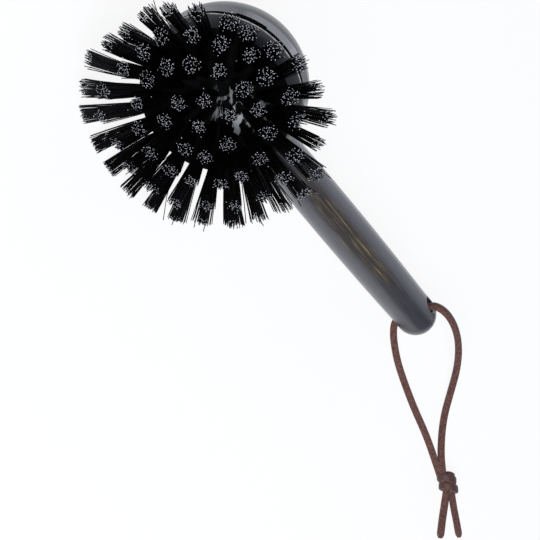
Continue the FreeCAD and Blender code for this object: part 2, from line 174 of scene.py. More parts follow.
def linear(hex_colour):
    """An sRGB hex colour as linear red, green, blue and alpha."""
    parts = [int(hex_colour[i : i + 2], 16) / 255 for i in (1, 3, 5)]
    return [c / 12.92 if c <= 0.04045 else ((c + 0.055) / 1.055) ** 2.4 for c in parts] + [1]


def per_metre(size_mm):
    """How often a pattern of this size repeats in a metre."""
    return 1 / (size_mm * MM)


BLACK = linear("#000000")
WHITE = linear("#ffffff")
print("middle grey in linear light:", round(linear("#808080")[0], 3))

# %% Materials and their nodes


def new_material(name):
    """An empty material and its node tree."""
    material = bpy.data.materials.new(name)
    material.use_nodes = True
    material.node_tree.nodes.clear()
    print("material:", name)
    return material, material.node_tree


def add(tree, kind, inputs=None, stops=(), **settings):
    """Adds a node, sets its properties and its ramp's stops, and fills or links its inputs.

    Inputs go by name or number. One that is given a node takes that node's first output.
    """
    made = tree.nodes.new(kind)
    for name, value in settings.items():
        setattr(made, name, value)
    for index, (position, colour) in enumerate(stops):
        made.color_ramp.elements[index].position = position
        made.color_ramp.elements[index].color = colour
    for name, value in (inputs or {}).items():
        if isinstance(value, bpy.types.Node):
            value = value.outputs[0]
        if isinstance(value, bpy.types.NodeSocket):
            tree.links.new(value, made.inputs[name])
        else:
            made.inputs[name].default_value = value
    return made


print("materials that come with the frame:", len(bpy.data.materials))

# %% [markdown]
# ## Stained beech
# The handle and the ball are turned from beech, stained black and varnished to a satin. That
# gives the eye a nearly black body, a cool grey sheen where it turns away, fine pores along the
# grain, and thin golden fibres where a hand has rubbed the stain through. A photograph of wood
# could be wrapped round, but it would show seams and stretch. Noise in the piece's own frame
# follows the lathe's axis at any size. Pores and fibres are really about 0.1 mm wide. They are
# drawn 0.3 mm wide, so that they show in the render.

# %% Golden fibres in the rubbed patch
FIBRE_WIDTH_MM = 0.3
FIBRE_LENGTH_MM = 18
FIBRE_STEP = 1.7  # neighbouring strips read the noise this far apart, so that they differ
UNSNAPPED = 0.001  # so small a step that the noise along a fibre stays smooth
GRIP_RADIUS = 7.8 * MM


def golden_fibres(tree, spot):
    """Straight strips along Z, a fibre wide round the grip, each with a run of noise of its own."""
    x, y, z = add(tree, "ShaderNodeSeparateXYZ", {0: spot}).outputs
    turn = add(tree, "ShaderNodeMath", {0: y, 1: x}, operation="ARCTAN2")
    unrolled = add(tree, "ShaderNodeCombineXYZ", {0: turn, 1: z})
    across = FIBRE_STEP * GRIP_RADIUS * per_metre(FIBRE_WIDTH_MM)
    scale = (across, per_metre(FIBRE_LENGTH_MM), 1)
    scaled = add(tree, "ShaderNodeMapping", {"Vector": unrolled, "Scale": scale})
    steps = {0: scaled, 1: (FIBRE_STEP, UNSNAPPED, 1)}
    strips = add(tree, "ShaderNodeVectorMath", steps, operation="SNAP")
    runs = {"Vector": strips, "Scale": 1, "Detail": 2}
    return add(tree, "ShaderNodeTexNoise", runs, noise_dimensions="2D")


print("fibres round the grip:", round(2 * math.pi * GRIP_RADIUS * per_metre(FIBRE_WIDTH_MM)))

# %% Where the stain is rubbed through
WORN_MM = (1.2, 1.2, 10)
RUBBED_ANGLE = math.radians(152)
RUBBED_RADIUS = 7.4 * MM
RUBBED_HEIGHT = 74 * MM
RUBBED_REACH = (4.4 * MM, 4.4 * MM, 42 * MM)

rubbed_x = RUBBED_RADIUS * math.cos(RUBBED_ANGLE)
rubbed_y = RUBBED_RADIUS * math.sin(RUBBED_ANGLE)


def rubbed_through(tree, spot, streaks):
    """How far the stain is gone: softly over a patch, and in the bare fibres of that patch."""
    place = {"Location": (rubbed_x, rubbed_y, RUBBED_HEIGHT), "Scale": RUBBED_REACH}
    near = add(tree, "ShaderNodeMapping", {"Vector": spot} | place, vector_type="TEXTURE")
    soft = add(tree, "ShaderNodeTexGradient", {"Vector": near}, gradient_type="SPHERICAL")
    grains = {"Vector": spot, "Scale": [per_metre(size) for size in WORN_MM]}
    scaled = add(tree, "ShaderNodeMapping", grains)
    worn = add(tree, "ShaderNodeTexNoise", {"Vector": scaled, "Scale": 1, "Detail": 3})
    fibres = {"Fac": golden_fibres(tree, spot)}
    thin = add(tree, "ShaderNodeValToRGB", fibres, stops=((0.5, BLACK), (0.74, WHITE)))
    broken = add(tree, "ShaderNodeValToRGB", {"Fac": worn}, stops=((0.32, BLACK), (0.62, WHITE)))
    inside = {"Fac": soft.outputs["Fac"]}
    bare = add(tree, "ShaderNodeValToRGB", inside, stops=((0.05, BLACK), (0.45, WHITE)))
    patch = add(tree, "ShaderNodeMath", {0: bare, 1: streaks}, operation="MULTIPLY")
    dashes = add(tree, "ShaderNodeMath", {0: thin, 1: broken}, operation="MULTIPLY")
    return patch, add(tree, "ShaderNodeMath", {0: dashes, 1: patch}, operation="MULTIPLY")


print("rubbed patch (mm along the handle):", RUBBED_HEIGHT / MM, "+-", RUBBED_REACH[2] / MM)

# %% Stained beech
PORE_MM = (0.3, 0.3, 9)
PORE_DEPTH = 0.05 * MM
PORE_DULLNESS = 0.1


def own_place(place):
    """What a Mapping node needs to find a point in a turned piece's own frame."""
    return {"Location": place.translation, "Rotation": place.to_euler()}


def stained_beech(name, place, streaks, polish, shine, varnish):
    """Black-stained beech with its grain along the piece's own Z axis. The coat is the varnish."""
    material, tree = new_material(name)
    here = add(tree, "ShaderNodeTexCoord").outputs["Object"]
    own = {"Vector": here} | own_place(place)
    spot = add(tree, "ShaderNodeMapping", own, vector_type="TEXTURE")
    grains = {"Vector": spot, "Scale": [per_metre(size) for size in PORE_MM]}
    scaled = add(tree, "ShaderNodeMapping", grains)
    pores = add(tree, "ShaderNodeTexNoise", {"Vector": scaled, "Scale": 1, "Detail": 3})
    patch, fibres = rubbed_through(tree, spot, streaks)
    blacks = ((0.3, linear("#101012")), (0.75, linear("#36363b")))
    stain = add(tree, "ShaderNodeValToRGB", {"Fac": pores}, stops=blacks)
    warm = {0: patch, 6: stain.outputs[0], 7: linear("#271f12")}
    tinted = add(tree, "ShaderNodeMix", warm, data_type="RGBA").outputs[2]
    golden = {0: fibres, 6: tinted, 7: linear("#8f7a4e")}
    colour = add(tree, "ShaderNodeMix", golden, data_type="RGBA").outputs[2]
    dull = {"Value": pores, "To Min": polish, "To Max": polish + PORE_DULLNESS}
    gloss = add(tree, "ShaderNodeMapRange", dull)
    relief = add(tree, "ShaderNodeBump", {"Height": pores, "Strength": 0.3, "Distance": PORE_DEPTH})
    wood = {"Base Color": colour, "Roughness": gloss, "Normal": relief, "IOR": 1.5}
    sheen = {"Specular IOR Level": shine, "Coat Weight": varnish, "Coat Roughness": polish}
    surface = add(tree, "ShaderNodeBsdfPrincipled", wood | sheen)
    add(tree, "ShaderNodeOutputMaterial", {"Surface": surface})
    return material


print("pores (mm):", PORE_MM)

# %% Beech of the handle and of the ball
grip_finish = dict(streaks=0.75, polish=0.34, shine=0.65, varnish=1)
ball_finish = dict(streaks=0, polish=0.16, shine=0.4, varnish=0)
handle_wood = stained_beech("stained_beech_handle", handle_frame, **grip_finish)
ball_wood = stained_beech("stained_beech_ball", head_frame, **ball_finish)

# %% [markdown]
# ## Wood beside the seam
# Inside the seam and behind the block the wood is stained black like the rest of the ball, and
# its finish is made darker and duller still, as painted shade of the narrow gap. The narrow lip
# beside the seam is the opposite: fingers have polished it, and it shows a smooth grey by
# reflection. A pale paint on it would look right from the front alone. So it is a dark, glossy
# wood that fades with height into the ball's finish, and its greys are a little paler than the
# ball's: a painted highlight over a mottle of wear.

# %% Painted shade in the seam
SEAM_SHADE_MOTTLE_MM = 0.4


def mottled(name, size_mm, detail, tones, look):
    """A plain finish that wanders between two tones, in patches of one size."""
    material, tree = new_material(name)
    spot = add(tree, "ShaderNodeTexCoord").outputs["Object"]
    patches = {"Vector": spot, "Scale": per_metre(size_mm), "Detail": detail}
    mottle = add(tree, "ShaderNodeTexNoise", patches)
    tone = add(tree, "ShaderNodeValToRGB", {"Fac": mottle}, stops=tones)
    surface = add(tree, "ShaderNodeBsdfPrincipled", {"Base Color": tone} | look)
    add(tree, "ShaderNodeOutputMaterial", {"Surface": surface})
    return material


# near-black and matt, darker than the ball's stain: painted shade of the seam's gap
seam_shade_blacks = ((0.3, linear("#050505")), (0.7, linear("#0e0e0e")))
seam_shade_look = {"Roughness": 0.9, "Specular IOR Level": 0.1}
seam_painted_shade = mottled("stained_beech_seam_painted_shade", SEAM_SHADE_MOTTLE_MM, 2, seam_shade_blacks, seam_shade_look)

# %% Polished wood on the lip, with a painted highlight
LIP_WEAR_AND_SHEEN_MM = 2
LIP_START = -3.2 * MM
LIP_FADE = 1.4 * MM

lip_wear_and_highlight, tree = new_material("rubbed_beech_lip_painted_highlight")
here = {"Vector": add(tree, "ShaderNodeTexCoord").outputs["Object"]}
spot = add(tree, "ShaderNodeMapping", here | own_place(head_frame), vector_type="TEXTURE")
wear_and_sheen_size = {"Scale": per_metre(LIP_WEAR_AND_SHEEN_MM), "Detail": 3}
wear_and_sheen = add(tree, "ShaderNodeTexNoise", {"Vector": spot} | wear_and_sheen_size)
height = add(tree, "ShaderNodeSeparateXYZ", {0: spot}).outputs["Z"]
near_seam = {"Value": height, "From Min": LIP_START, "From Max": LIP_START + LIP_FADE}
share = add(tree, "ShaderNodeMapRange", near_seam, interpolation_type="SMOOTHSTEP")
# greys paler than the ball's stain near the seam: a painted highlight over a mottle of wear
wear_and_highlight_greys = ((0.35, linear("#333337")), (0.65, linear("#46464a")))
rubbed = add(tree, "ShaderNodeValToRGB", {"Fac": wear_and_sheen}, stops=wear_and_highlight_greys)
fade = {0: share, 6: linear("#202022"), 7: rubbed.outputs[0]}
tone = add(tree, "ShaderNodeMix", fade, data_type="RGBA").outputs[2]
gloss = add(tree, "ShaderNodeMapRange", {"Value": share, "To Min": 0.2, "To Max": 0.3})
look = {"Base Color": tone, "Roughness": gloss, "IOR": 1.5, "Specular IOR Level": 0.75}
look |= {"Coat Weight": 0.9, "Coat Roughness": 0.2}
surface = add(tree, "ShaderNodeBsdfPrincipled", look)
add(tree, "ShaderNodeOutputMaterial", {"Surface": surface})

# %% [markdown]
# ## Wood of the drilled block
# The front half of the ball has two finishes of its own. Its drilled face is sawn, and sawn wood
# drinks the stain: it is matt and nearly black, and its colour is made darker still as painted
# shade under the dense tufts. Its small pits are darkened as painted shade too, and a few paler
# patches near the middle are painted glints. Its turned side is smooth, and a thin pale line along
# the sharp edge at the seam is a painted highlight, broken up like rubbed wear. Two materials on
# one mesh keep these apart. The glints come from noise that a soft ball of influence keeps to the
# middle, and the line from the height.

# %% Sawn face, with painted shade
MOTTLE_MM = 2.5
PIT_MM = 0.5
PIT_DEPTH = 0.1 * MM
GLINT_MM = (1.8, 5, 3)
GLINT_PLACE = (3.6 * MM, 8.7 * MM, 15.9 * MM)
GLINT_REACH = 11 * MM
GLINT_TURN = math.radians(-51)

face_wood_shade_and_glints, tree = new_material("sawn_beech_face_painted_shade_and_glints")
here = {"Vector": add(tree, "ShaderNodeTexCoord").outputs["Object"]}
spot = add(tree, "ShaderNodeMapping", here | own_place(head_frame), vector_type="TEXTURE")
mottle_size = {"Scale": per_metre(MOTTLE_MM), "Detail": 5}
mottle = add(tree, "ShaderNodeTexNoise", {"Vector": spot} | mottle_size)
pits_size = {"Scale": per_metre(PIT_MM), "Detail": 2}
pits = add(tree, "ShaderNodeTexNoise", {"Vector": spot} | pits_size)
# the stain's blacks, made darker still as painted shade under the dense tufts
blacks = ((0.35, linear("#020202")), (0.7, linear("#090a0a")))
body = add(tree, "ShaderNodeValToRGB", {"Fac": mottle}, stops=blacks)
# pits darkened in colour as well as in relief: painted shade in the pits
shades = ((0.3, linear("#4a4a4a")), (0.55, WHITE))
shade = add(tree, "ShaderNodeValToRGB", {"Fac": pits}, stops=shades)
pitted = {0: 1.0, 6: body.outputs[0], 7: shade.outputs[0]}
sawn_and_shaded = add(tree, "ShaderNodeMix", pitted, data_type="RGBA", blend_type="MULTIPLY").outputs[2]
relief = add(tree, "ShaderNodeBump", {"Height": pits, "Strength": 0.35, "Distance": PIT_DEPTH})

# %% Painted glints on the sawn face
# pale patches kept near the middle of the face: painted glints
turned = add(tree, "ShaderNodeMapping", {"Vector": spot, "Rotation": (0, 0, GLINT_TURN)})
grains = {"Vector": turned, "Scale": [per_metre(size) for size in GLINT_MM]}
scaled = add(tree, "ShaderNodeMapping", grains)
glint_noise = add(tree, "ShaderNodeTexNoise", {"Vector": scaled, "Scale": 1, "Detail": 4})
patches = add(tree, "ShaderNodeValToRGB", {"Fac": glint_noise}, stops=((0.52, BLACK), (0.58, WHITE)))
near = {"Vector": spot, "Location": GLINT_PLACE, "Scale": [GLINT_REACH] * 3}
middle = add(tree, "ShaderNodeMapping", near, vector_type="TEXTURE")
soft = add(tree, "ShaderNodeTexGradient", {"Vector": middle}, gradient_type="SPHERICAL")
both = {0: patches, 1: soft.outputs["Fac"]}
share = add(tree, "ShaderNodeMath", both, operation="MULTIPLY")
# the pale grey of the painted glints
glinted = {0: share, 6: sawn_and_shaded, 7: linear("#a3a5a3")}
colour = add(tree, "ShaderNodeMix", glinted, data_type="RGBA").outputs[2]
look = {"Base Color": colour, "Roughness": 0.85, "Normal": relief, "Specular IOR Level": 0.05}
surface = add(tree, "ShaderNodeBsdfPrincipled", look)
add(tree, "ShaderNodeOutputMaterial", {"Surface": surface})
print("painted_glint reaches (mm):", GLINT_REACH / MM)

# %% Turned side with a painted highlight line
PAINTED_EDGE_HIGHLIGHT = (3.2 * MM, 3.7 * MM)

side_wood_with_painted_line, tree = new_material("stained_beech_side_painted_highlight")
here = {"Vector": add(tree, "ShaderNodeTexCoord").outputs["Object"]}
spot = add(tree, "ShaderNodeMapping", here | own_place(head_frame), vector_type="TEXTURE")
mottle = add(tree, "ShaderNodeTexNoise", {"Vector": spot} | mottle_size)
blacks = ((0.35, linear("#0b0b0d")), (0.7, linear("#1f2024")))
body = add(tree, "ShaderNodeValToRGB", {"Fac": mottle}, stops=blacks)
height = add(tree, "ShaderNodeSeparateXYZ", {0: spot}).outputs["Z"]
low = {"Value": height, "From Min": PAINTED_EDGE_HIGHLIGHT[0], "From Max": PAINTED_EDGE_HIGHLIGHT[1]}
edge = add(tree, "ShaderNodeMapRange", low | {"To Min": 1, "To Max": 0})
rough_line = {"Value": mottle, "From Min": 0.3, "From Max": 0.55, "To Min": 0.3}
uneven = add(tree, "ShaderNodeMapRange", rough_line)
share = add(tree, "ShaderNodeMath", {0: edge, 1: uneven}, operation="MULTIPLY")
# a thin pale line at the seam's edge, broken up by the mottle like wear: a painted highlight
rubbed = {0: share, 6: body.outputs[0], 7: linear("#d2cdc3")}
colour = add(tree, "ShaderNodeMix", rubbed, data_type="RGBA").outputs[2]
gloss = add(tree, "ShaderNodeMapRange", {"Value": mottle, "To Min": 0.22, "To Max": 0.34})
look = {"Base Color": colour, "Roughness": gloss, "IOR": 1.5, "Specular IOR Level": 0.2}
surface = add(tree, "ShaderNodeBsdfPrincipled", look)
add(tree, "ShaderNodeOutputMaterial", {"Surface": surface})

# %% [markdown]
# ## Turned pieces
# A lathe makes a round piece by cutting one outline into spinning wood. Blender's Screw modifier
# could do the same, but a mesh that is spun at once can be carved and counted straight away. The
# outline is a list of (radius, height) points, with round stretches worked out as arcs. Holes are
# carved with a boolean, whose result replaces the mesh, so nothing is left to work out later.

# %% Outlines and meshes
CREASE = math.radians(28)


def arc(centre, radius, start, end, steps):
    """Points of an arc in the outline's plane. Angles in degrees from the radius axis."""
    turns = [math.radians(start + (end - start) * i / steps) for i in range(steps + 1)]
    return [(centre[0] + radius * math.cos(t), centre[1] + radius * math.sin(t)) for t in turns]


def soften(mesh, crease=CREASE):
    """Smooth shading that keeps real edges crisp."""
    mesh.polygons.foreach_set("use_smooth", [True] * len(mesh.polygons))
    mesh.set_sharp_from_angle(angle=crease)


def piece_from(name, shape, place):
    """A scene object from a bmesh, put in place."""
    bmesh.ops.recalc_face_normals(shape, faces=shape.faces[:])
    mesh = bpy.data.meshes.new(name)
    shape.to_mesh(mesh)
    shape.free()
    soften(mesh)
    piece = bpy.data.objects.new(name, mesh)
    piece.matrix_world = place
    bpy.context.scene.collection.objects.link(piece)
    return piece


print("edges stay crisp from (degrees):", round(math.degrees(CREASE)))

# %% Lathe
LATHE_STEPS = 144
WELD = 0.0001 * MM


def lathe(name, outline, place, turn=2 * math.pi, steps=LATHE_STEPS):
    """Spins an outline of (radius, height) points about Z, all the way or through a part turn."""
    shape = bmesh.new()
    corners = [shape.verts.new((radius, 0, height)) for radius, height in outline]
    for here, there in zip(corners, corners[1:]):
        shape.edges.new((here, there))
    whole = turn >= 2 * math.pi
    geometry = shape.verts[:] + shape.edges[:]
    spin = dict(axis=(0, 0, 1), cent=(0, 0, 0), steps=steps, angle=turn, use_merge=whole)
    bmesh.ops.spin(shape, geom=geometry, **spin)
    bmesh.ops.remove_doubles(shape, verts=shape.verts[:], dist=WELD)
    if not whole:
        bmesh.ops.holes_fill(shape, edges=shape.edges[:])
    return piece_from(name, shape, place)


print("a lathe step at the ball (mm):", round(2 * math.pi * BALL_RADIUS / LATHE_STEPS / MM, 2))

# %% Carving and finishing


def carve(piece, cutter):
    """Takes the cutter's shape out of the piece for good."""
    modifier = piece.modifiers.new("carve", "BOOLEAN")
    modifier.operation = "DIFFERENCE"
    modifier.solver = "EXACT"
    modifier.object = cutter
    ready = piece.evaluated_get(bpy.context.evaluated_depsgraph_get())
    carved = bpy.data.meshes.new_from_object(ready)
    piece.modifiers.clear()
    piece.data = carved
    bpy.data.objects.remove(cutter)
    carved.materials.clear()
    soften(carved)
    print(piece.name, "carved, faces:", len(carved.polygons))


def finish_piece(piece, body, slot, materials, *nodes):
    """Puts a piece in the row frame, gives it materials and a body, and hides its CAD nodes. The
    slot is not used.
    """
    piece.data.transform(piece.matrix_world)
    piece.matrix_world = Matrix.Identity(4)
    for material in materials:
        piece.data.materials.append(material)
    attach(piece, body)
    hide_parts(*nodes)
    print(piece.name, "faces:", len(piece.data.polygons))


print("CAD nodes to dress:", len(frame["nodes"]))

# %% [markdown]
# ## Handle
# The real handle is one turned stick: a tenon that is glued into the ball, a grip that swells
# very slightly, and a round end. A stretched cylinder would miss the swell, so the whole outline
# is spun. The cross hole for the lace has eased mouths. Its cutter is a small lathe piece too,
# shaped like a bobbin, so that one cut makes the hole and both mouths.

# %% Handle
SWELL = 0.55 * MM
TENON_RADIUS = 4.5 * MM
TENON_LENGTH = 8.6 * MM
TENON_EASE = 0.6 * MM
HANDLE_LAND = 7 * MM
GRIP_STEPS = 48
END_STEPS = 20

tenon_start = HANDLE_SEAT - TENON_LENGTH
land_start = HANDLE_REACH - HANDLE_LAND
outline = [(0, tenon_start), (TENON_RADIUS - TENON_EASE, tenon_start)]
outline += [(TENON_RADIUS, tenon_start + TENON_EASE), (TENON_RADIUS, HANDLE_SEAT)]
for step in range(GRIP_STEPS + 1):
    share = step / GRIP_STEPS
    straight = NECK_RADIUS + (HANDLE_END_RADIUS - NECK_RADIUS) * share
    hump = 4 * share * (1 - share)
    height = HANDLE_SEAT + (land_start - HANDLE_SEAT) * share
    outline.append((straight + SWELL * hump, height))
outline += arc((0, HANDLE_REACH), HANDLE_END_RADIUS, 0, 90, END_STEPS)
handle = lathe("handle_turned", outline, handle_frame)

# %% Cord hole
CORD_HOLE_RADIUS = 2.7 * MM
CORD_HOLE_EASE = 1 * MM
CORD_HOLE_STEPS = 48
OVERRUN = 2 * MM

mouth = HANDLE_END_RADIUS - CORD_HOLE_EASE
far = HANDLE_END_RADIUS + OVERRUN
flare = CORD_HOLE_RADIUS + far - mouth
bobbin = [(0, -far), (flare, -far), (CORD_HOLE_RADIUS, -mouth)]
bobbin += [(CORD_HOLE_RADIUS, mouth), (flare, far), (0, far)]
bobbin_place = frame_along(hole_centre, hole_axis, handle_axis)
carve(handle, lathe("cord_hole_cutter", bobbin, bobbin_place, steps=CORD_HOLE_STEPS))
finish_piece(handle, "brush_back", "stained_wood", [handle_wood], "handle")

# %% [markdown]
# ## Back half of the ball
# The back half holds the handle in a mortise and the bristle head in a socket. A narrow bevelled
# lip runs beside the seam, and a shallow notch in its rim lets a blade pry the head off. A plain
# sphere could be cut in two, but the lip and the seam are steps of the outline, so they are spun
# with it. The seam stays open by a fraction of a millimetre, and its faces carry painted shade, so
# it reads as a dark line. A boolean then cuts what isn't round about the bristle axis: the mortise
# and the notch.

# %% Back half, turned
SEAM_HEIGHT = 2.4 * MM
SEAM_GAP = 0.8 * MM
SEAM_SEAT_RADIUS = 23.2 * MM
LIP = ((0.6 * MM, 0.35 * MM), (0.95 * MM, 0.75 * MM))
LIP_WIDTH = 1.8 * MM
SPIGOT_RADIUS = 11 * MM
SPIGOT_LENGTH = 7.2 * MM
SPIGOT_CLEARANCE = 0.1 * MM
BOTTOM_SLACK = 0.4 * MM
BALL_STEPS = 64

gap_floor = SEAM_HEIGHT - SEAM_GAP
lip_angle = math.degrees(math.asin(LIP_START / BALL_RADIUS))
socket_radius = SPIGOT_RADIUS + SPIGOT_CLEARANCE
socket_floor = SEAM_HEIGHT - SPIGOT_LENGTH - BOTTOM_SLACK
outline = arc((0, 0), BALL_RADIUS, -90, lip_angle, BALL_STEPS)
outline += [(BALL_RADIUS - drop, height) for drop, height in LIP]
outline += [(BALL_RADIUS - LIP_WIDTH, gap_floor)]
outline += [(SEAM_SEAT_RADIUS, gap_floor), (SEAM_SEAT_RADIUS, SEAM_HEIGHT)]
outline += [(socket_radius, SEAM_HEIGHT), (socket_radius, socket_floor), (0, socket_floor)]
cap = lathe("ball_back_turned", outline, head_frame)
print("seam gap (mm):", round(SEAM_GAP / MM, 2))

# %% Mortise for the handle
JOINT_CLEARANCE = 0.1 * MM
MORTISE_STEPS = 64

mortise_floor = HANDLE_SEAT - TENON_LENGTH - BOTTOM_SLACK
bore = TENON_RADIUS + JOINT_CLEARANCE
counterbore = NECK_RADIUS + JOINT_CLEARANCE
outer_end = BALL_RADIUS + OVERRUN
mortise = [(0, mortise_floor), (bore, mortise_floor), (bore, HANDLE_SEAT)]
mortise += [(counterbore, HANDLE_SEAT), (counterbore, outer_end), (0, outer_end)]
carve(cap, lathe("mortise_cutter", mortise, handle_frame, steps=MORTISE_STEPS))

# %% Pry notch and finishes of the back half
NOTCH_DEPTH = 1.9 * MM
NOTCH_ANGLE = math.radians(23)
NOTCH_AZIMUTH = math.radians(133)
NOTCH_STEPS = 16
LIP_CREASE = math.radians(9)
SEAM_SLACK = 0.05 * MM
BALL_FINISH, SEAM_SHADE_FINISH, LIP_WEAR_AND_HIGHLIGHT_FINISH = 0, 1, 2

notch_floor = gap_floor - NOTCH_DEPTH
wedge = [(SEAM_SEAT_RADIUS, notch_floor), (outer_end, notch_floor), (outer_end, SEAM_HEIGHT)]
wedge += [(SEAM_SEAT_RADIUS, SEAM_HEIGHT), (SEAM_SEAT_RADIUS, notch_floor)]
wedge_place = head_frame @ Matrix.Rotation(NOTCH_AZIMUTH - NOTCH_ANGLE / 2, 4, "Z")
carve(cap, lathe("notch_cutter", wedge, wedge_place, turn=NOTCH_ANGLE, steps=NOTCH_STEPS))
soften(cap.data, LIP_CREASE)
for face in cap.data.polygons:
    x, y, z = face.center
    across = math.hypot(x, y)
    face.material_index = BALL_FINISH
    # faces inside the seam and the socket get the painted shade
    if z > notch_floor - SEAM_SLACK and across < BALL_RADIUS - LIP[0][0]:
        face.material_index = SEAM_SHADE_FINISH
    # faces of the lip get its worn finish with the painted highlight
    elif z > LIP_START and across > BALL_RADIUS - LIP_WIDTH:
        face.material_index = LIP_WEAR_AND_HIGHLIGHT_FINISH
finish_piece(cap, "brush_back", "stained_wood", [ball_wood, seam_painted_shade, lip_wear_and_highlight], "head_cap")

# %% [markdown]
# ## Drilled front half
# The front half is cut flat, rounded at the shoulder and drilled for every tuft, with a round
# spigot behind. Holes could be painted on, but light falls into real ones, and the tufts need
# them. They stand in five rings that all point at the ball's middle. Each ring has an angle from
# the bristle axis, a number of tufts and a starting phase. The distance from the ball's middle to
# the wood along a tuft comes from the flat face, or from the rounded shoulder.

# %% Rings of tufts
SHOULDER_ANGLE = math.radians(62)
SHOULDER_RADIUS = 6 * MM
RINGS = {
    "core": dict(angle=0, count=1, phase=0, tip_radius=2.6 * MM),
    "first": dict(angle=19.7, count=7, phase=36, tip_radius=2.7 * MM),
    "second": dict(angle=37.3, count=15, phase=15, tip_radius=2.7 * MM),
    "third": dict(angle=48.6, count=20, phase=14, tip_radius=2.8 * MM),
    "outer": dict(angle=57, count=26, phase=1.5, tip_radius=3.1 * MM),
}

block_inner = BALL_RADIUS - SHOULDER_RADIUS
block_front = block_inner * math.cos(SHOULDER_ANGLE) + SHOULDER_RADIUS


def surface_along(angle):
    """How far from the ball's middle a tuft at this angle leaves the wood."""
    on_face = block_front / math.cos(angle)
    if on_face * math.sin(angle) < block_inner * math.sin(SHOULDER_ANGLE):
        return on_face
    aside = angle - SHOULDER_ANGLE
    across = block_inner * math.sin(aside)
    return block_inner * math.cos(aside) + math.sqrt(SHOULDER_RADIUS**2 - across**2)


def tuft_frames(ring):
    """The frame of each tuft in a ring, from the ball's middle and with +Z along the tuft."""
    tilt = Matrix.Rotation(math.radians(ring["angle"]), 4, "Y")
    for index in range(ring["count"]):
        turn = math.radians(ring["phase"] + 360 * index / ring["count"])
        yield head_frame @ Matrix.Rotation(turn, 4, "Z") @ tilt


print("tufts:", sum(ring["count"] for ring in RINGS.values()))

# %% Front half, turned
SPIGOT_EASE = 0.8 * MM
RIM_EASE = 0.5 * MM
SIDE_STEPS = 24
SHOULDER_STEPS = 14

spigot_end = SEAM_HEIGHT - SPIGOT_LENGTH
rim_start = math.degrees(math.asin((SEAM_HEIGHT + RIM_EASE) / BALL_RADIUS))
side_end = 90 - math.degrees(SHOULDER_ANGLE)
side_arc = arc((0, 0), BALL_RADIUS, rim_start, side_end, SIDE_STEPS)
shoulder_height = block_inner * math.cos(SHOULDER_ANGLE)
shoulder_centre = (block_inner * math.sin(SHOULDER_ANGLE), shoulder_height)
outline = [(0, spigot_end), (SPIGOT_RADIUS - SPIGOT_EASE, spigot_end)]
outline += [(SPIGOT_RADIUS, spigot_end + SPIGOT_EASE), (SPIGOT_RADIUS, SEAM_HEIGHT)]
outline += [(side_arc[0][0] - RIM_EASE, SEAM_HEIGHT)] + side_arc
outline += arc(shoulder_centre, SHOULDER_RADIUS, side_end, 90, SHOULDER_STEPS)[1:]
outline += [(0, block_front)]
block = lathe("ball_front_turned", outline, head_frame)
print("drilled face above the ball's middle (mm):", round(block_front / MM, 2))

# %% Tuft holes and finishes of the front half
TUFT_HOLE_RADIUS = 1.35 * MM
TUFT_DEPTH = 5.1 * MM
TUFT_HOLE_SIDES = 20
BACK_SLACK = 0.125 * MM
FACE_FINISH, SIDE_FINISH, BACK_SHADE_FINISH = 0, 1, 2

drill_size = dict(radius1=TUFT_HOLE_RADIUS, radius2=TUFT_HOLE_RADIUS, depth=OVERRUN + TUFT_DEPTH)
drill = bmesh.new()
for ring in RINGS.values():
    surface = surface_along(math.radians(ring["angle"]))
    middle = Matrix.Translation((0, 0, surface + (OVERRUN - TUFT_DEPTH) / 2))
    for tuft_frame in tuft_frames(ring):
        place = head_frame.inverted() @ tuft_frame @ middle
        sides = dict(cap_ends=True, segments=TUFT_HOLE_SIDES)
        bmesh.ops.create_cone(drill, matrix=place, **sides, **drill_size)
carve(block, piece_from("tuft_hole_cutter", drill, head_frame))
for face in block.data.polygons:
    face.material_index = FACE_FINISH if face.center.z > shoulder_height else SIDE_FINISH
    # the spigot and the back of the block get the seam's painted shade too
    if face.center.z < SEAM_HEIGHT + BACK_SLACK:
        face.material_index = BACK_SHADE_FINISH
block_woods = [face_wood_shade_and_glints, side_wood_with_painted_line, seam_painted_shade]
finish_piece(block, "bristle_head", "stained_wood", block_woods, "bristle_block")

# %% [markdown]
# ## Nylon
# The filaments are drawn nylon, coloured black all through. Their sides give the eye almost
# nothing but black. Their cut ends catch the light and show as pale dots. The ends get a pale grey
# as a painted glint, though a matt cut is only a little paler than the sides. One material with a
# mask could do both, but a cut end is a face of its own in the mesh, so it simply gets a second
# material. A noise of about two filaments' width gives each dot its own grey.

# %% Nylon
SHEEN_MM = 6
DOT_MM = 0.6
NYLON_IOR = 1.53

filament_blacks = ((0.35, linear("#010101")), (0.7, linear("#040405")))
filament_look = {"Roughness": 0.4, "IOR": NYLON_IOR, "Specular IOR Level": 0.08}
nylon = mottled("black_nylon_filament", SHEEN_MM, 2, filament_blacks, filament_look)
# pale greys for the cut ends: painted glints, a little paler than a matt cut would be
glint_greys = ((0.35, linear("#565657")), (0.65, linear("#b4b4b6")))
dot_look = {"Roughness": 0.7, "IOR": NYLON_IOR}
cut_end_glint = mottled("cut_nylon_end_painted_glint", DOT_MM, 1, glint_greys, dot_look)

# %% [markdown]
# ## Bristle tufts
# Each tuft is a bundle of filaments, folded in the middle round a metal anchor and pulled into
# its hole. They leave the hole packed tight and spread towards their cut ends. Blender's hair
# could grow them, but it leaves no mesh. So every filament is a thin six-sided tube, about 0.3 mm
# thick as the real ones are. That gives the true edge against the light, the dots of the cut ends
# and the odd stray. A sunflower spiral spaces the filaments evenly in the bundle.

# %% One bundle
FILAMENTS = 54
FILAMENT_RADIUS = 0.14 * MM
FILAMENT_SIDES = 6
GOLDEN_ANGLE = math.pi * (3 - math.sqrt(5))

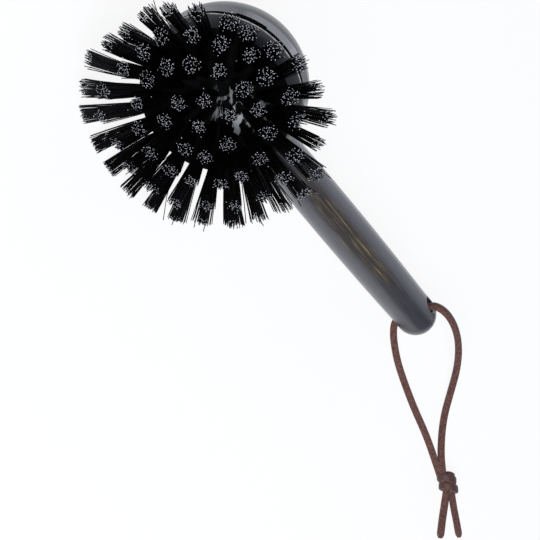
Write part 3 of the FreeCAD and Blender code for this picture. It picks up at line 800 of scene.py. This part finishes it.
spiral = np.arange(FILAMENTS)
spiral_turn = spiral * GOLDEN_ANGLE
spiral_radius = np.sqrt((spiral + 0.5) / FILAMENTS)
bundle = np.stack([spiral_radius * np.cos(spiral_turn), spiral_radius * np.sin(spiral_turn)], 1)
around = np.arange(FILAMENT_SIDES) * 2 * math.pi / FILAMENT_SIDES
rim = np.stack([np.cos(around), np.sin(around)], 1)
print("filaments:", FILAMENTS * sum(ring["count"] for ring in RINGS.values()))

# %% [markdown]
# The brush is trimmed after filling, so the filaments end near one shallow dome. Cutting the
# finished tubes with a boolean would be slow and would leave loose bits. Here each filament's
# length is found first, by closing in on the place where it meets the dome. Outer tufts meet it
# at a slant, and use has blunted that slant by half.

# %% Trimmed dome
TRIM_TOP = 28.7 * MM
TRIM_DOME_RADIUS = 190 * MM
TRIM_EDGE_START = 32 * MM
TRIM_EDGE_RADIUS = 16 * MM
TRIM_ROUNDS = 14


def trim_height(radius):
    """The height of the dome over the ball's middle, at a distance from the bristle axis."""
    edge = np.maximum(radius - TRIM_EDGE_START, 0)
    return TRIM_TOP - radius**2 / (2 * TRIM_DOME_RADIUS) - edge**2 / (2 * TRIM_EDGE_RADIUS)


def trimmed_reach(angle, tips):
    """How far along the tuft each filament meets the dome, found by closing in on it."""
    reach = np.full(len(tips), TRIM_TOP / math.cos(angle))
    for _ in range(TRIM_ROUNDS):
        radius = np.hypot(reach * math.sin(angle) + tips[:, 0] * math.cos(angle), tips[:, 1])
        met = (trim_height(radius) + tips[:, 0] * math.sin(angle)) / math.cos(angle)
        reach = (reach + met) / 2
    return reach


print("dome's top over the ball's middle (mm):", round(TRIM_TOP / MM, 1))

# %% [markdown]
# Washing-up has bent the outer tufts, more on one side than on the other. Each tuft could be bent
# by hand. Two short tables of millimetres by direction round the head are easier to read: one is
# how far the tips lean out, the other is how far they are swept round. The bend fades quickly
# towards the middle rings.

# %% Bent tufts
BENT_OUT = {
    0: 1, 25: 1.2, 43: 2.2, 57: 1.2, 71: 4, 85: 2.6, 98: 2.2,
    112: -1.6, 126: -2.2, 140: -0.7, 154: -0.2, 158: 0.9, 168: 0.7, 178: 2,
    195: 0.2, 209: 0.6, 221: 2.6, 244: 4, 276: 2.4, 300: 1.4, 340: 0.8,
}
SWEPT = {100: 0, 125: 1.4, 140: -0.4, 154: 2.2, 168: 1, 190: 0}
BENT_POWER = 8

widest = math.sin(math.radians(RINGS["outer"]["angle"]))


def bend(tuft_frame, angle):
    """How far use has bent a tuft's tips, outwards and sideways."""
    heading = (head_frame.inverted() @ tuft_frame).col[0]
    azimuth = math.degrees(math.atan2(heading.y, heading.x))
    outward = np.interp(azimuth, list(BENT_OUT), list(BENT_OUT.values()), period=360)
    swept = np.interp(azimuth % 360, list(SWEPT), list(SWEPT.values()))
    return np.array([outward, swept]) * MM * (math.sin(angle) / widest) ** BENT_POWER


print("most bent (mm):", max(BENT_OUT.values()), "least:", min(BENT_OUT.values()))

# %% [markdown]
# A real tuft is never regular: it leans, some are fuller, single filaments drift or stand out,
# and each cut is a little askew. A noise texture could displace a clean bundle, but it moves
# neighbours alike. A seeded generator draws a value for each filament, the same in every run.

# %% Chance in one tuft
LENGTH_SPREAD = 0.22 * MM
BLUNTNESS = 0.5
DRIFT = 0.3 * MM
STRAY_DRIFT = 1.5 * MM
STRAY_SHARE = 0.03
STRAY_EXTRA = 1.8 * MM
TUFT_LEAN = 0.75 * MM
FULLNESS = (0.8, 1.08)
CUT_TILT = 0.3
CUT_SLANT_SHARE = 0.6


def drawn_tuft(random, ring, bent):
    """Draws one tuft: its bundle, drift, lean, tip radius, reach and the tilt of its cuts."""
    angle = math.radians(ring["angle"])
    turn = random.uniform(0, 2 * math.pi)
    cosine, sine = math.cos(turn), math.sin(turn)
    spun = bundle @ np.array([[cosine, sine], [-sine, cosine]])
    stray = random.uniform(size=FILAMENTS) < STRAY_SHARE
    drift = random.normal(size=(FILAMENTS, 2)) * np.where(stray, STRAY_DRIFT, DRIFT)[:, None]
    lean = random.normal(size=2) * TUFT_LEAN + bent
    tip_radius = ring["tip_radius"] * random.uniform(*FULLNESS)
    reach = trimmed_reach(angle, spun * tip_radius + drift + lean)
    uneven = random.normal(size=FILAMENTS) * LENGTH_SPREAD
    reach += (reach.mean() - reach) * BLUNTNESS + uneven
    reach += stray * random.uniform(0, STRAY_EXTRA, FILAMENTS)
    tilt = random.normal(size=(FILAMENTS, 2)) * CUT_TILT
    tilt[:, 0] += math.tan(angle * CUT_SLANT_SHARE)
    return spun, drift, lean, tip_radius, reach, tilt


print("strays in each tuft, about:", round(STRAY_SHARE * FILAMENTS, 1))

# %% Filaments of one tuft
TUFT_NECK_RADIUS = 1.15 * MM
FAN_POWER = 0.6
LEAN_POWER = 1.4
STATION_SHARES = (0.12, 0.35, 0.65, 1.0)


def filament_rings(tuft, surface):
    """The points of a tuft's filaments in the tuft's own frame: filament, ring, corner, xyz."""
    spun, drift, lean, tip_radius, reach, tilt = tuft
    stations = [(np.full(FILAMENTS, surface - TUFT_DEPTH), 0), (np.full(FILAMENTS, surface), 0)]
    stations += [(surface + (reach - surface) * share, share) for share in STATION_SHARES]
    rings = np.zeros((FILAMENTS, len(stations), FILAMENT_SIDES, 3))
    for index, (height, share) in enumerate(stations):
        spread = TUFT_NECK_RADIUS + (tip_radius - TUFT_NECK_RADIUS) * share**FAN_POWER
        middle = spun * spread + drift * share**2 + lean * share**LEAN_POWER
        rings[:, index, :, :2] = middle[:, None, :] + rim[None] * FILAMENT_RADIUS
        rings[:, index, :, 2] = height[:, None]
    rings[:, -1, :, 2] += (tilt @ rim.T) * FILAMENT_RADIUS
    return rings


print("rings along a filament:", 2 + len(STATION_SHARES))

# %% [markdown]
# All the filaments of a ring go into one mesh, since one object for each would choke the
# outliner. The corners of all rings are numbered in one array, so the walls are that array laid
# beside itself, shifted by one corner and by one ring. The outer caps are the cut ends, and get
# the second material.

# %% Mesh of a ring of tufts
EDGE_CLEARANCE = 0.2 * MM
inner_box = np.array(cad_box[0]) + EDGE_CLEARANCE, np.array(cad_box[1]) - EDGE_CLEARANCE


def tuft_mesh(name, ring, seed):
    """One mesh of all the filaments in a ring of tufts, in the row frame."""
    random = np.random.RandomState(seed)
    angle = math.radians(ring["angle"])
    tufts = []
    for tuft_frame in tuft_frames(ring):
        tuft = drawn_tuft(random, ring, bend(tuft_frame, angle))
        rings = filament_rings(tuft, surface_along(angle))
        tufts.append(rings @ np.array(tuft_frame.to_3x3()).T + np.array(tuft_frame.translation))
    points = np.clip(np.concatenate(tufts), *inner_box)
    filaments, stations, sides, _ = points.shape
    numbers = np.arange(filaments * stations * sides).reshape(filaments, stations, sides)
    following = np.roll(numbers, -1, axis=2)
    walls = np.stack([numbers[:, :-1], following[:, :-1], following[:, 1:], numbers[:, 1:]], -1)
    faces = walls.reshape(-1, 4).tolist() + numbers[:, -1].tolist() + numbers[:, 0, ::-1].tolist()
    mesh = bpy.data.meshes.new(name)
    mesh.from_pydata(points.reshape(-1, 3), [], faces)
    is_cut = np.zeros(len(faces), int)
    is_cut[-2 * filaments : -filaments] = 1
    mesh.polygons.foreach_set("material_index", is_cut)
    soften(mesh)
    return mesh


print("corners of a filament's ring:", FILAMENT_SIDES)

# %% Five rings of bristles
for seed, (ring_name, ring) in enumerate(RINGS.items(), start=1):
    name = f"bristles_{ring_name}"
    bristles = bpy.data.objects.new(name, tuft_mesh(name, ring, seed))
    bpy.context.scene.collection.objects.link(bristles)
    finish_piece(bristles, "bristle_head", "bristle", [nylon, cut_end_glint], f"tufts_{ring_name}")

# %% [markdown]
# ## Anchors
# The anchors are short, flat bits of drawn steel wire, hidden in the holes. They could be
# modelled again, but their CAD solids already have the right shape. So the solids stay, in a
# brushed steel of their own, which would flash grey if a tuft were pulled out.

# %% Anchor steel
BRUSHING_MM = 0.2

steel, tree = new_material("drawn_steel_anchor")
spot = add(tree, "ShaderNodeTexCoord").outputs["Object"]
scale = {"Vector": spot, "Scale": per_metre(BRUSHING_MM)}
brushing = add(tree, "ShaderNodeTexNoise", scale | {"Detail": 2})
gloss = add(tree, "ShaderNodeMapRange", {"Value": brushing, "To Min": 0.3, "To Max": 0.5})
look = {"Base Color": linear("#b9b9bb"), "Metallic": 1.0, "Roughness": gloss}
surface = add(tree, "ShaderNodeBsdfPrincipled", look)
add(tree, "ShaderNodeOutputMaterial", {"Surface": surface})
for ring_name in RINGS:
    anchors = frame["nodes"][f"anchors_{ring_name}"]
    anchors.data.materials.clear()
    anchors.data.materials.append(steel)
print("anchors dressed:", len(RINGS), "nodes")

# %% [markdown]
# ## Leather
# The lace is tanned cowhide, split so that it has a smooth grain side and a rough suede side, and
# both show here. Suede gives the eye a speckled, lightless brown with a soft pale edge, the grain
# side an even, slightly shiny one. Hair could make the nap, but it is finer than a pixel. Noise
# in the colour and a little relief are enough. The real nap is about 0.1 mm deep and wide. It is
# drawn coarser, at half a millimetre, so that it shows.

# %% Suede and grain side
NAP_MM = 0.5
NAP_DEPTH = 0.15 * MM


def leather(name, dark, pale, roughness, nap_strength):
    """Tanned leather, mottled between two browns, with a fine nap."""
    material, tree = new_material(name)
    spot = add(tree, "ShaderNodeTexCoord").outputs["Object"]
    nap = add(tree, "ShaderNodeTexNoise", {"Vector": spot, "Scale": per_metre(NAP_MM), "Detail": 4})
    browns = ((0.3, linear(dark)), (0.7, linear(pale)))
    tone = add(tree, "ShaderNodeValToRGB", {"Fac": nap}, stops=browns)
    raised = {"Height": nap, "Strength": nap_strength, "Distance": NAP_DEPTH}
    relief = add(tree, "ShaderNodeBump", raised)
    look = {"Base Color": tone, "Roughness": roughness, "Normal": relief, "Sheen Weight": 0.1}
    surface = add(tree, "ShaderNodeBsdfPrincipled", look)
    add(tree, "ShaderNodeOutputMaterial", {"Surface": surface})
    return material


suede = leather("brown_suede", "#24120b", "#734b40", 0.9, 0.6)
grain_side = leather("brown_grain_leather", "#331910", "#4a281e", 0.6, 0.12)
lace_leathers = [suede, grain_side]

# %% [markdown]
# ## Lace legs
# One lace goes through the cross hole, and its two legs meet in a knot. A cloth simulation could
# drop it on the table, but it would fall in another way than the one in the photograph. The
# route's points follow the CAD tube, as control points of a NURBS curve, which gives the easy
# bends of leather. A curve's own bevel has one finish all round. A strip swept along the curve
# has a squarish section and can have two. Its round corners make it look thinner than the tube,
# so it is drawn a tenth wider.

# %% Lace routes
LACE_UPPER = (
    (0.9, 3.3, 13.1), (3.9, 3.9, 15.5), (9.0, 3.7, 15.8), (16.8, 2.8, 13.2),
    (24.1, 0.4, 9.5), (29.9, -3.9, 6.0), (33.9, -10.5, 3.2), (36.6, -17.5, 1.8),
    (39.4, -23.6, 1.4), (42.3, -30.6, 2.3), (44.8, -36.2, 4.0), (47.6, -38.6, 3.6),
)
LACE_LOWER = (
    (-0.55, -2.0, 4.0), (-0.85, -3.9, 1.9), (-0.1, -6.3, 1.35), (2.4, -10.0, 1.33),
    (8.0, -15.2, 1.33), (15.9, -20.0, 1.33), (24.2, -24.4, 1.33), (32.9, -28.3, 1.33),
    (39.7, -32.2, 1.35), (46.8, -37.5, 2.2),
)

under_hole = Vector((hole_centre.x, hole_centre.y, 0))


def route(points_mm):
    """A lace route in the row frame, from millimetres about the spot under the cord hole."""
    return [under_hole + Vector(point) * MM for point in points_mm]


print("control points:", len(LACE_UPPER), "and", len(LACE_LOWER))

# %% Lace lines
CURVE_STEPS = 8
CURVE_ORDER = 3


def smooth_line(name, points):
    """The points of a NURBS curve that has the route's points as its control points."""
    curve = bpy.data.curves.new(name, "CURVE")
    curve.dimensions = "3D"
    curve.resolution_u = CURVE_STEPS
    spline = curve.splines.new("NURBS")
    spline.points.add(len(points) - 1)
    for control, point in zip(spline.points, points):
        control.co = (*point, 1)
    spline.order_u = CURVE_ORDER
    spline.use_endpoint_u = True
    holder = bpy.data.objects.new(name, curve)
    bpy.context.scene.collection.objects.link(holder)
    ready = holder.evaluated_get(bpy.context.evaluated_depsgraph_get())
    mesh = bpy.data.meshes.new_from_object(ready)
    line = [vertex.co.copy() for vertex in mesh.vertices]
    bpy.data.objects.remove(holder)
    bpy.data.meshes.remove(mesh)
    return line


def line_length(line):
    """The length of a line of points."""
    return sum((there - here).length for here, there in zip(line, line[1:]))


upper_line = smooth_line("upper_route", [hole_centre] + route(LACE_UPPER))
lower_line = smooth_line("lower_route", [hole_centre] + route(LACE_LOWER))
leg_lengths = [line_length(line) for line in (upper_line, lower_line)]
print("legs (mm):", [round(length / MM, 1) for length in leg_lengths])

# %% Section of the lace
CORNER_POWER = 0.62
LACE_SIDES = 24


def lace_section(width, thickness):
    """A rounded rectangle, as a superellipse: across the lace, then through it."""
    section = []
    for index in range(LACE_SIDES):
        turn = 2 * math.pi * index / LACE_SIDES
        x, y = math.cos(turn), math.sin(turn)
        across = math.copysign(abs(x) ** CORNER_POWER, x) * width / 2
        through = math.copysign(abs(y) ** CORNER_POWER, y) * thickness / 2
        section.append((across, through))
    return section


print("corners round the lace:", LACE_SIDES)

# %% Strip along a line
GRAIN_SHARE = 1.5


def sweep(name, line, section, grain, end_shares=(), hub=None):
    """A closed strip along a line, with its last rings narrowed by the end shares.

    The grain side starts in the grain direction, or faces away from a hub: a point and a direction.
    """
    shape = bmesh.new()
    through = grain.copy()
    rings = []
    for index, point in enumerate(line):
        ahead = line[min(index + 1, len(line) - 1)] - line[max(index - 1, 0)]
        ahead.normalize()
        if hub:
            through = point - hub[0] - hub[1] * (point - hub[0]).dot(hub[1])
        through = (through - ahead * through.dot(ahead)).normalized()
        across = through.cross(ahead)
        left = len(line) - 1 - index
        share = end_shares[left] if left < len(end_shares) else 1
        corners = [point + (across * x + through * y) * share for x, y in section]
        rings.append([shape.verts.new(corner) for corner in corners])
    grain_start = GRAIN_SHARE * section[LACE_SIDES // 4][1]
    for here, there in zip(rings, rings[1:]):
        for side in range(LACE_SIDES):
            after = (side + 1) % LACE_SIDES
            face = shape.faces.new((here[side], here[after], there[after], there[side]))
            on_grain = section[side][1] + section[after][1] > grain_start
            face.material_index = 1 if on_grain else 0
    shape.faces.new(rings[0][::-1])
    shape.faces.new(rings[-1])
    return piece_from(name, shape, Matrix.Identity(4))


print("grain side starts at this share of the half thickness:", GRAIN_SHARE / 2)

# %% Lace legs
LACE_WIDTH = 2.2 * MM
LEG_WIDTH = LACE_WIDTH * 1.1
LOWER_THICKNESS = LACE_WIDTH * 0.95
UPPER_GRAIN = Vector((-0.96, 0.26, 0))
LOWER_GRAIN = Vector((0.68, 0.58, -0.45))

upper_section = lace_section(LEG_WIDTH, LEG_WIDTH)
lower_section = lace_section(LEG_WIDTH, LOWER_THICKNESS)
upper_leg = sweep("lace_upper_strip", upper_line, upper_section, UPPER_GRAIN)
lower_leg = sweep("lace_lower_strip", lower_line, lower_section, LOWER_GRAIN)
finish_piece(upper_leg, "brush_back", "lace_leather", lace_leathers, "lace_upper_leg")
finish_piece(lower_leg, "brush_back", "lace_leather", lace_leathers, "lace_lower_leg")

# %% [markdown]
# ## Lace tails
# The two tails lie on the table and were cut with a slanted snip, so their last bit narrows. A
# cut through the mesh could make that. It is simpler to let the last two rings of the strip
# shrink. The left tail shows its broad side and the right one more of its edge, so they differ in
# width.

# %% Lace tails
TAIL_LEFT = ((51.5, -39.2, 2.3), (54.6, -44.2, 1.2), (56.6, -49.4, 1.15), (59.0, -54.7, 1.15))
TAIL_RIGHT = ((52.3, -38.5, 3.2), (58.2, -42.0, 1.4), (62.6, -45.4, 1.15), (66.9, -49.4, 1.15))
TAIL_WIDTHS = (2.7 * MM, 2.3 * MM)
TAIL_THICKNESS = 2 * MM
TAIL_END_SHARES = (0.55, 0.93)
TAIL_GRAIN = Vector((0, 0, -1))

for side, points, width in zip(("left", "right"), (TAIL_LEFT, TAIL_RIGHT), TAIL_WIDTHS):
    name = f"lace_tail_{side}_strip"
    tail_line = smooth_line(f"{name}_route", route(points))
    tail = sweep(name, tail_line, lace_section(width, TAIL_THICKNESS), TAIL_GRAIN, TAIL_END_SHARES)
    finish_piece(tail, "brush_back", "lace_leather", lace_leathers, f"lace_tail_{side}")

# %% [markdown]
# ## Knot
# The real knot is both strands, tied together in one overhand knot and pulled tight. A true knot
# could be traced strand by strand, but hardly any of it can be seen. What shows is two flat bands
# side by side, grain side out, and a hump where a leg goes in. So two bands are wrapped round the
# bundle, each a little more than one turn with its ends tucked in, and a third, short one makes
# the hump.

# %% Knot routes
KNOT_PLACE = (49.6, -38.0, 3.4)
KNOT_HEADING = Vector((0.547, -0.837, 0))
KNOT_RADIUS = 3.0
KNOT_FLATTENING = 0.86
KNOT_SPACING = 2.7
KNOT_SLANT = 0.3
KNOT_SHIFT = 0.45
KNOT_POINTS = 18
KNOT_TUCK = 0.5
TUCK_START = 0.75
BANDS = (
    dict(step=-1, start=0.5, turns=1.2, size=1),
    dict(step=1, start=0.5, turns=1.2, size=1),
    dict(step=-1.9, start=0.05, turns=0.25, size=0.88),
)

knot_side = Vector((-KNOT_HEADING.y, KNOT_HEADING.x, 0))


def band_points(step, start, turns, size):
    """A band's route round the bundle, in millimetres. Its ends are tucked towards the middle."""
    for index in range(KNOT_POINTS):
        share = index / (KNOT_POINTS - 1)
        turn = 2 * math.pi * (turns * share + start)
        near_end = max(0, abs(2 * share - 1) - TUCK_START) / (1 - TUCK_START)
        tuck = 1 - KNOT_TUCK * near_end
        side = math.cos(turn) * KNOT_RADIUS * tuck * size + KNOT_SHIFT * step
        lift = math.sin(turn) * KNOT_RADIUS * tuck * size * KNOT_FLATTENING
        along = step * KNOT_SPACING / 2 + KNOT_SLANT * side
        yield Vector(KNOT_PLACE) + KNOT_HEADING * along + knot_side * side + Vector((0, 0, lift))


print("knot bands:", len(BANDS))

# %% Knot
BAND_WIDTH = 2.75 * MM
BAND_THICKNESS = 1.6 * MM

hub = (under_hole + Vector(KNOT_PLACE) * MM, KNOT_HEADING)
knot_shape = bmesh.new()
for band in BANDS:
    band_line = smooth_line("knot_route", route(band_points(**band)))
    band_section = lace_section(BAND_WIDTH * band["size"], BAND_THICKNESS)
    wrap = sweep("knot_band", band_line, band_section, KNOT_HEADING, hub=hub)
    knot_shape.from_mesh(wrap.data)
    bpy.data.objects.remove(wrap)
knot = piece_from("lace_knot_wraps", knot_shape, Matrix.Identity(4))
finish_piece(knot, "brush_back", "lace_leather", lace_leathers, "lace_knot")

# %% [markdown]
# A lace is soft, but the meshes can say that only by their shape. The knot, the tails and both
# legs hang on the same body as the handle, and the cell below prints the legs' names.

# %% Names of the lace legs
print("cords:", upper_leg.name, lower_leg.name)

# %% [markdown]
# ## Studio floor
# The photograph has a white ground. More light could burn a grey floor out to white, but it would
# wash the brush out too. So the floor is pale paper under plain light, and only what the camera
# and mirror-like surfaces see of it is lifted towards white. It still takes a faint shadow, and
# bounces light up under the brush.

# %% Studio floor
FLOOR_SIDE = 6

half = FLOOR_SIDE / 2
corners = [(-half, -half, 0), (half, -half, 0), (half, half, 0), (-half, half, 0)]
floor_mesh = bpy.data.meshes.new("studio_floor")
floor_mesh.from_pydata(corners, [], [(0, 1, 2, 3)])
floor = bpy.data.objects.new("studio_floor", floor_mesh)
bpy.context.scene.collection.objects.link(floor)
print("floor (m):", FLOOR_SIDE)

# %% White paper
LIFT_TO_CAMERA = 0.88
LIFT_IN_MIRRORS = 0.45

floor_paper, tree = new_material("white_paper_floor")
paper = add(tree, "ShaderNodeBsdfDiffuse", {"Color": linear("#f2f2f2")})
seen = add(tree, "ShaderNodeLightPath").outputs
mirrors = {0: seen["Is Glossy Ray"], 1: seen["Is Transmission Ray"]}
mirrored = add(tree, "ShaderNodeMath", mirrors, operation="MAXIMUM")
soft = add(tree, "ShaderNodeMath", {0: mirrored, 1: LIFT_IN_MIRRORS}, operation="MULTIPLY")
lifted = {0: seen["Is Camera Ray"], 1: LIFT_TO_CAMERA, 2: soft}
lift = add(tree, "ShaderNodeMath", lifted, operation="MULTIPLY_ADD")
glow = add(tree, "ShaderNodeEmission", {"Color": WHITE, "Strength": 1})
surface = add(tree, "ShaderNodeMixShader", {0: lift, 1: paper, 2: glow})
add(tree, "ShaderNodeOutputMaterial", {"Surface": surface})
floor_mesh.materials.append(floor_paper)

# %% [markdown]
# ## Room and lamps
# The light in the photograph is soft and comes from all round, as in a white tent. One sun would
# give a hard edge on the ball. A dim, cool room fills the shadows, and three broad lamps shape
# the round wood: one high in front, one at the side, and one low behind for the ball's rim.

# %% Room
world = bpy.data.worlds.new("studio_world")
bpy.context.scene.world = world
world.use_nodes = True
tree = world.node_tree
tree.nodes.clear()
seen = add(tree, "ShaderNodeLightPath").outputs
room = add(tree, "ShaderNodeBackground", {"Color": linear("#e2e8ff"), "Strength": 0.25})
white = add(tree, "ShaderNodeBackground", {"Color": WHITE, "Strength": 1})
surface = add(tree, "ShaderNodeMixShader", {0: seen["Is Camera Ray"], 1: room, 2: white})
add(tree, "ShaderNodeOutputWorld", {"Surface": surface})
print("room nodes:", len(tree.nodes))

# %% Lamps
LAMP_TARGET = Vector((0, 0, 0.03))
LAMPS = {
    "key_softbox": dict(place=(-0.35, -0.75, 0.9), size=(0.9, 0.7), power=19),
    "side_softbox": dict(place=(0.9, 0.7, 0.55), size=(1.2, 0.9), power=2.4),
    "back_softbox": dict(place=(0.1, 1.15, 0.31), size=(1.2, 0.55), power=3.2),
}

for name, softbox in LAMPS.items():
    lamp_data = bpy.data.lights.new(name, "AREA")
    lamp_data.shape = "RECTANGLE"
    lamp_data.size, lamp_data.size_y = softbox["size"]
    lamp_data.energy = softbox["power"]
    lamp_data.color = linear("#f2f5ff")[:3]
    lamp = bpy.data.objects.new(name, lamp_data)
    facing = (LAMP_TARGET - Vector(softbox["place"])).to_track_quat("-Z", "Y")
    lamp.matrix_world = Matrix.Translation(softbox["place"]) @ facing.to_matrix().to_4x4()
    bpy.context.scene.collection.objects.link(lamp)
    print(name, "power (W):", softbox["power"])
bpy.context.scene.view_settings.view_transform = "Standard"

# %% [markdown]
# ## Last step
# The view layer is brought up to date, so that every dressed piece stands where it was put.

# %% Last step
bpy.context.view_layer.update()
